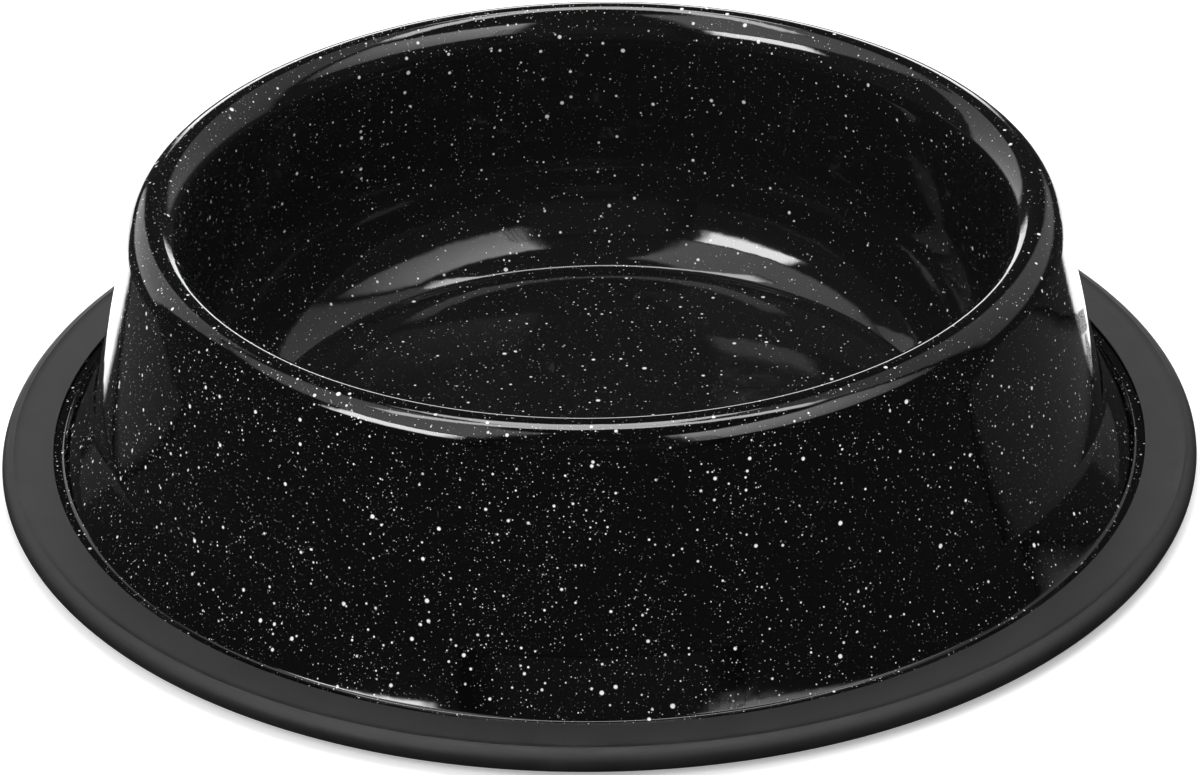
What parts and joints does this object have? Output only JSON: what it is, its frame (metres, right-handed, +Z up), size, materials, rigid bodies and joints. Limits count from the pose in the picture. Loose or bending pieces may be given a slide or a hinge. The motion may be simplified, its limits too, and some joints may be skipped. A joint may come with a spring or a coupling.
{
  "type": "pet bowl",
  "caption": "Round non-tip pet bowl: a drawn steel shell with a wide flared skirt, in black speckled enamel, standing on a black rubber anti-skid ring.",
  "frame": {"origin": "on the bowl's axis, on the surface that the rubber ring stands on", "axes": "+Z up along the bowl's axis; the bowl is round, so X and Y are any two level directions"},
  "size_m": [0.24, 0.24, 0.0573],
  "materials": {
    "black_enamel": "gloss black enamel with white speckles, fused on steel sheet",
    "black_rubber": "matte moulded rubber"
  },
  "bodies": {
    "root": {"bowl_shell": "black_enamel", "rubber_ring": "black_rubber"}
  },
  "joints": []
}
